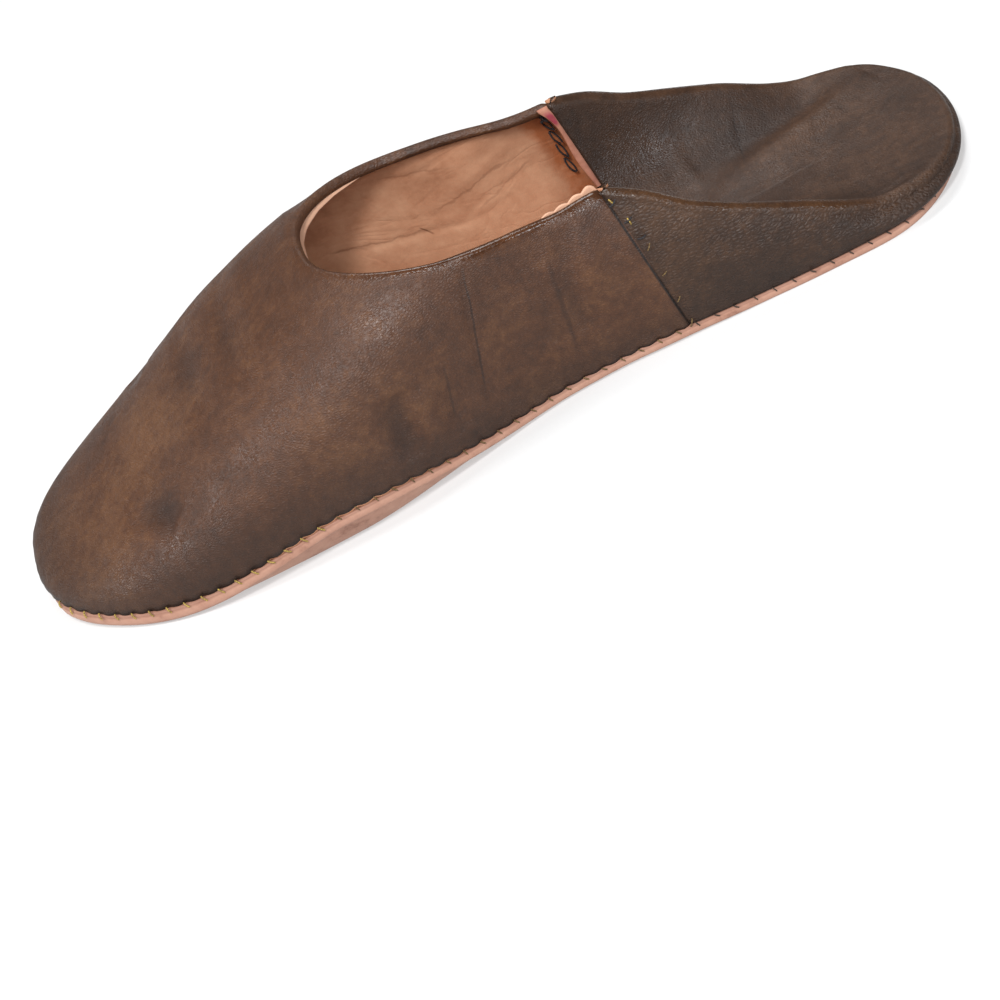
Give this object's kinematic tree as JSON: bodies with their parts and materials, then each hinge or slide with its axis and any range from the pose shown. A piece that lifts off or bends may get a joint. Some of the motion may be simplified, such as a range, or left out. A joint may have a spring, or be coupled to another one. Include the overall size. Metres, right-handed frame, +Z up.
{
  "type": "babouche slipper",
  "caption": "Flat leather slip-on shoe with a broad round toe, an open collar over the instep and its heel quarter folded flat inside.",
  "frame": {"origin": "on the ground, under the middle of the slipper's bounding box", "axes": "+X towards the heel, +Y towards the big-toe side, +Z up"},
  "size_m": [0.2716, 0.0964, 0.0581],
  "materials": {
    "sole_leather": "undyed pinkish tan sole leather, matt, with a worn edge",
    "insole_leather": "undyed tan leather, matt, with wrinkles",
    "upper_leather": "dark brown grained leather, half gloss, with soft creases and an undyed flesh side"
  },
  "bodies": {
    "root": {"outsole": "sole_leather", "insole": "insole_leather", "upper": "upper_leather"}
  },
  "joints": []
}
